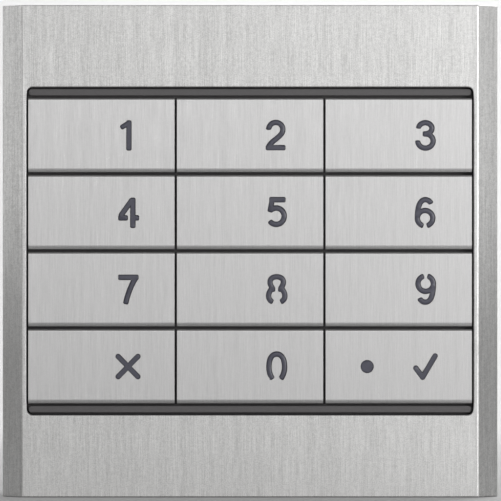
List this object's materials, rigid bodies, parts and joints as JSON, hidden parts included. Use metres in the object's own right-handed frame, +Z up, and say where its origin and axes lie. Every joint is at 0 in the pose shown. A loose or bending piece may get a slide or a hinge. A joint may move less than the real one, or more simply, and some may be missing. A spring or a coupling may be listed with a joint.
{
  "type": "keypad access reader",
  "caption": "Flush keypad access reader module: brushed metal front plate with bevelled sides, metal keys with stencil-cut legends over light guides, and a clip-in rear housing.",
  "frame": {"origin": "middle of the rear housing's flat back face", "axes": "+Z up, -Y out of the front plate towards the user, +X to the user's right"},
  "size_m": [0.091, 0.025, 0.0902],
  "materials": {
    "brushed_plate": "vertically brushed over fine blasting, satin",
    "brushed_key": "fine vertical brushing, satin",
    "smoked_clear": "smoked clear polycarbonate",
    "carrier_grey": "fine moulded texture",
    "black_rubber": "matt",
    "silicone": "translucent matt",
    "board_green": "solder resist on glass laminate",
    "chip_black": "moulded epoxy",
    "relay_case": "semi-gloss moulded",
    "capacitor_can": "drawn can",
    "socket_cream": "moulded nylon",
    "terminal_green": "moulded polyamide",
    "led_lens": "clear epoxy over a white body",
    "housing_black": "fine spark-eroded texture",
    "spring_steel": "bright rolled"
  },
  "bodies": {
    "root": {"front_plate": "brushed_plate", "window_gasket": "black_rubber", "frame_seal": "black_rubber", "key_carrier": "carrier_grey", "silicone_keymat": "silicone", "keypad_board": "board_green", "led_1": "led_lens", "led_2": "led_lens", "led_3": "led_lens", "led_4": "led_lens", "led_5": "led_lens", "led_6": "led_lens", "led_7": "led_lens", "led_8": "led_lens", "led_9": "led_lens", "led_cancel": "led_lens", "led_0": "led_lens", "led_confirm": "led_lens", "led_status": "led_lens", "microcontroller": "chip_black", "relay": "relay_case", "buzzer": "chip_black", "capacitor": "capacitor_can", "bus_socket_in": "socket_cream", "bus_socket_out": "socket_cream", "terminal_header": "terminal_green", "terminal_plug": "terminal_green", "setup_socket": "socket_cream", "service_port": "spring_steel", "rear_housing": "housing_black", "retaining_clip_right": "spring_steel", "retaining_clip_left": "spring_steel", "housing_screw_1": "spring_steel", "housing_screw_2": "spring_steel", "housing_screw_3": "spring_steel", "housing_screw_4": "spring_steel"},
    "key_1": {"key_cap_1": "brushed_key", "key_guide_1": "smoked_clear"},
    "key_2": {"key_cap_2": "brushed_key", "key_guide_2": "smoked_clear"},
    "key_3": {"key_cap_3": "brushed_key", "key_guide_3": "smoked_clear"},
    "key_4": {"key_cap_4": "brushed_key", "key_guide_4": "smoked_clear"},
    "key_5": {"key_cap_5": "brushed_key", "key_guide_5": "smoked_clear"},
    "key_6": {"key_cap_6": "brushed_key", "key_guide_6": "smoked_clear"},
    "key_7": {"key_cap_7": "brushed_key", "key_guide_7": "smoked_clear"},
    "key_8": {"key_cap_8": "brushed_key", "key_guide_8": "smoked_clear"},
    "key_9": {"key_cap_9": "brushed_key", "key_guide_9": "smoked_clear"},
    "key_cancel": {"key_cap_cancel": "brushed_key", "key_guide_cancel": "smoked_clear"},
    "key_0": {"key_cap_0": "brushed_key", "key_guide_0": "smoked_clear"},
    "key_confirm": {"key_cap_confirm": "brushed_key", "key_guide_confirm": "smoked_clear"}
  },
  "joints": [
    {"name": "key_1_press", "type": "slide", "parent": "root", "child": "key_1", "axis": [0, 1, 0], "range_m": [0, 0.0008], "stiffness_N_per_m": 1500, "springref_m": -0.0005, "deforming": ["silicone_keymat"]},
    {"name": "key_2_press", "type": "slide", "parent": "root", "child": "key_2", "axis": [0, 1, 0], "range_m": [0, 0.0008], "stiffness_N_per_m": 1500, "springref_m": -0.0005, "deforming": ["silicone_keymat"]},
    {"name": "key_3_press", "type": "slide", "parent": "root", "child": "key_3", "axis": [0, 1, 0], "range_m": [0, 0.0008], "stiffness_N_per_m": 1500, "springref_m": -0.0005, "deforming": ["silicone_keymat"]},
    {"name": "key_4_press", "type": "slide", "parent": "root", "child": "key_4", "axis": [0, 1, 0], "range_m": [0, 0.0008], "stiffness_N_per_m": 1500, "springref_m": -0.0005, "deforming": ["silicone_keymat"]},
    {"name": "key_5_press", "type": "slide", "parent": "root", "child": "key_5", "axis": [0, 1, 0], "range_m": [0, 0.0008], "stiffness_N_per_m": 1500, "springref_m": -0.0005, "deforming": ["silicone_keymat"]},
    {"name": "key_6_press", "type": "slide", "parent": "root", "child": "key_6", "axis": [0, 1, 0], "range_m": [0, 0.0008], "stiffness_N_per_m": 1500, "springref_m": -0.0005, "deforming": ["silicone_keymat"]},
    {"name": "key_7_press", "type": "slide", "parent": "root", "child": "key_7", "axis": [0, 1, 0], "range_m": [0, 0.0008], "stiffness_N_per_m": 1500, "springref_m": -0.0005, "deforming": ["silicone_keymat"]},
    {"name": "key_8_press", "type": "slide", "parent": "root", "child": "key_8", "axis": [0, 1, 0], "range_m": [0, 0.0008], "stiffness_N_per_m": 1500, "springref_m": -0.0005, "deforming": ["silicone_keymat"]},
    {"name": "key_9_press", "type": "slide", "parent": "root", "child": "key_9", "axis": [0, 1, 0], "range_m": [0, 0.0008], "stiffness_N_per_m": 1500, "springref_m": -0.0005, "deforming": ["silicone_keymat"]},
    {"name": "key_cancel_press", "type": "slide", "parent": "root", "child": "key_cancel", "axis": [0, 1, 0], "range_m": [0, 0.0008], "stiffness_N_per_m": 1500, "springref_m": -0.0005, "deforming": ["silicone_keymat"]},
    {"name": "key_0_press", "type": "slide", "parent": "root", "child": "key_0", "axis": [0, 1, 0], "range_m": [0, 0.0008], "stiffness_N_per_m": 1500, "springref_m": -0.0005, "deforming": ["silicone_keymat"]},
    {"name": "key_confirm_press", "type": "slide", "parent": "root", "child": "key_confirm", "axis": [0, 1, 0], "range_m": [0, 0.0008], "stiffness_N_per_m": 1500, "springref_m": -0.0005, "deforming": ["silicone_keymat"]}
  ]
}
